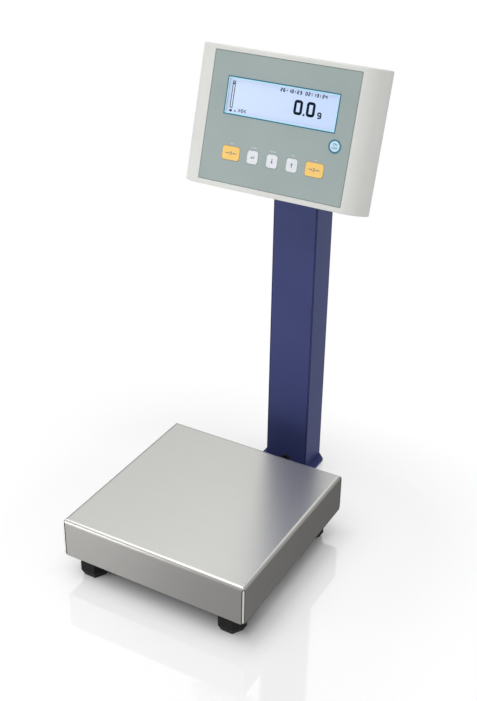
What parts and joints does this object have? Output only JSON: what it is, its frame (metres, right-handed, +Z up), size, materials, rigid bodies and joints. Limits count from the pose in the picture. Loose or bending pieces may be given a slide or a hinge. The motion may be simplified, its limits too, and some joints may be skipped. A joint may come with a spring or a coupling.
{
  "type": "laboratory balance",
  "caption": "Bench balance: square steel weighing pan on levelling feet, with a tilting display head on a column behind it.",
  "frame": {"origin": "middle of the footprint, on the floor under the feet", "axes": "+Z up, +X to the user's right, -Y towards the user"},
  "size_m": [0.23, 0.358, 0.5442],
  "materials": {
    "stainless_sheet": "satin rolled stainless sheet",
    "dark_casting": "dark textured paint on cast iron",
    "cell_aluminium": "milled aluminium",
    "zinc_steel": "zinc plated steel",
    "black_plastic": "moulded black plastic",
    "vial_glass": "liquid behind clear glass",
    "black_rubber": "matt moulded rubber",
    "navy_paint": "semi-gloss powder coat with a fine texture",
    "white_nylon": "machined nylon",
    "housing_plastic": "fine-grained moulded plastic",
    "overlay_film": "satin printed polyester film",
    "window_film": "clear hard-coated polyester window",
    "frame_steel": "tinned sheet steel",
    "display_glass": "lit liquid crystal panel",
    "light_box_plastic": "white diffusing plastic",
    "circuit_board": "green solder mask",
    "nickel_shell": "nickel plated steel",
    "insert_brass": "turned brass",
    "orange_key": "printed orange key cap",
    "pale_key": "printed pale grey-blue key cap",
    "blue_key": "printed light blue key cap"
  },
  "bodies": {
    "base": {"base_casting": "dark_casting", "load_cell": "cell_aluminium", "load_cell_spacers": "zinc_steel", "load_cell_screws": "zinc_steel", "overload_stops": "zinc_steel", "level_ring": "black_plastic", "level_vial": "vial_glass", "spider": "cell_aluminium", "pan_bumpers": "black_rubber", "rear_bracket": "navy_paint", "bracket_screws": "zinc_steel", "column": "navy_paint", "column_cap": "black_plastic", "lead_grommets": "black_rubber", "pivot_tube": "zinc_steel", "friction_washers": "white_nylon"},
    "head": {"front_bezel": "housing_plastic", "keypad_overlay": "overlay_film", "display_window": "window_film", "display_frame": "frame_steel", "display_panel": "display_glass", "display_light_box": "light_box_plastic", "display_board": "circuit_board", "main_board": "circuit_board", "board_screws": "zinc_steel", "key_switches": "black_plastic", "back_cover": "housing_plastic", "cover_screws": "zinc_steel", "tilt_yoke": "navy_paint", "yoke_screws": "zinc_steel", "tilt_bolt": "zinc_steel", "bolt_washers": "zinc_steel", "data_port": "nickel_shell", "power_inlet": "black_plastic", "lead_gland": "black_plastic"},
    "pan": {"weighing_pan": "stainless_sheet"},
    "knob": {"tilt_knob": "black_plastic", "knob_insert": "insert_brass"},
    "tare_key_left": {"tare_key_left": "orange_key"},
    "enter_key": {"enter_key": "pale_key"},
    "down_key": {"down_key": "pale_key"},
    "up_key": {"up_key": "pale_key"},
    "tare_key_right": {"tare_key_right": "orange_key"},
    "power_key": {"power_key": "blue_key"},
    "foot_pad_front_left": {"foot_pad_front_left": "black_rubber"},
    "foot_knob_front_left": {"foot_knob_front_left": "black_plastic", "foot_stud_front_left": "zinc_steel"},
    "foot_pad_front_right": {"foot_pad_front_right": "black_rubber"},
    "foot_knob_front_right": {"foot_knob_front_right": "black_plastic", "foot_stud_front_right": "zinc_steel"},
    "foot_pad_rear_left": {"foot_pad_rear_left": "black_rubber"},
    "foot_knob_rear_left": {"foot_knob_rear_left": "black_plastic", "foot_stud_rear_left": "zinc_steel"},
    "foot_pad_rear_right": {"foot_pad_rear_right": "black_rubber"},
    "foot_knob_rear_right": {"foot_knob_rear_right": "black_plastic", "foot_stud_rear_right": "zinc_steel"}
  },
  "joints": [
    {"name": "pan_lift", "type": "slide", "parent": "base", "child": "pan", "axis": [0, 0, 1], "range_m": [0, 0.06]},
    {"name": "head_tilt", "type": "hinge", "parent": "base", "child": "head", "pos_m": [0, 0.158, 0.465], "axis": [-1, 0, 0], "range_deg": [-16, 25]},
    {"name": "tilt_knob_turn", "type": "hinge", "parent": "head", "child": "knob", "pos_m": [0, 0.158, 0.465], "axis": [1, 0, 0], "range_deg": [0, 180]},
    {"name": "tare_key_left_press", "type": "slide", "parent": "head", "child": "tare_key_left", "axis": [0, 0.9613, -0.2756], "range_m": [0, 0.0004], "stiffness_N_per_m": 4000},
    {"name": "enter_key_press", "type": "slide", "parent": "head", "child": "enter_key", "axis": [0, 0.9613, -0.2756], "range_m": [0, 0.0004], "stiffness_N_per_m": 4000},
    {"name": "down_key_press", "type": "slide", "parent": "head", "child": "down_key", "axis": [0, 0.9613, -0.2756], "range_m": [0, 0.0004], "stiffness_N_per_m": 4000},
    {"name": "up_key_press", "type": "slide", "parent": "head", "child": "up_key", "axis": [0, 0.9613, -0.2756], "range_m": [0, 0.0004], "stiffness_N_per_m": 4000},
    {"name": "tare_key_right_press", "type": "slide", "parent": "head", "child": "tare_key_right", "axis": [0, 0.9613, -0.2756], "range_m": [0, 0.0004], "stiffness_N_per_m": 4000},
    {"name": "power_key_press", "type": "slide", "parent": "head", "child": "power_key", "axis": [0, 0.9613, -0.2756], "range_m": [0, 0.0004], "stiffness_N_per_m": 4000},
    {"name": "foot_height_front_left", "type": "slide", "parent": "base", "child": "foot_pad_front_left", "axis": [0, 0, 1], "range_m": [-0.006, 0.003]},
    {"name": "foot_turn_front_left", "type": "hinge", "parent": "foot_pad_front_left", "child": "foot_knob_front_left", "pos_m": [-0.0895, -0.1571, 0.012], "axis": [0, 0, 1], "range_deg": [-1728, 864]},
    {"name": "foot_height_front_right", "type": "slide", "parent": "base", "child": "foot_pad_front_right", "axis": [0, 0, 1], "range_m": [-0.006, 0.003]},
    {"name": "foot_turn_front_right", "type": "hinge", "parent": "foot_pad_front_right", "child": "foot_knob_front_right", "pos_m": [0.0895, -0.1571, 0.012], "axis": [0, 0, 1], "range_deg": [-1728, 864]},
    {"name": "foot_height_rear_left", "type": "slide", "parent": "base", "child": "foot_pad_rear_left", "axis": [0, 0, 1], "range_m": [-0.006, 0.003]},
    {"name": "foot_turn_rear_left", "type": "hinge", "parent": "foot_pad_rear_left", "child": "foot_knob_rear_left", "pos_m": [-0.0895, 0.028, 0.012], "axis": [0, 0, 1], "range_deg": [-1728, 864]},
    {"name": "foot_height_rear_right", "type": "slide", "parent": "base", "child": "foot_pad_rear_right", "axis": [0, 0, 1], "range_m": [-0.006, 0.003]},
    {"name": "foot_turn_rear_right", "type": "hinge", "parent": "foot_pad_rear_right", "child": "foot_knob_rear_right", "pos_m": [0.0895, 0.028, 0.012], "axis": [0, 0, 1], "range_deg": [-1728, 864]}
  ],
  "couplings": [
    {"joint": "foot_turn_front_left", "follows": "foot_height_front_left", "rad_per_m": 5026.5},
    {"joint": "foot_turn_front_right", "follows": "foot_height_front_right", "rad_per_m": 5026.5},
    {"joint": "foot_turn_rear_left", "follows": "foot_height_rear_left", "rad_per_m": 5026.5},
    {"joint": "foot_turn_rear_right", "follows": "foot_height_rear_right", "rad_per_m": 5026.5}
  ]
}
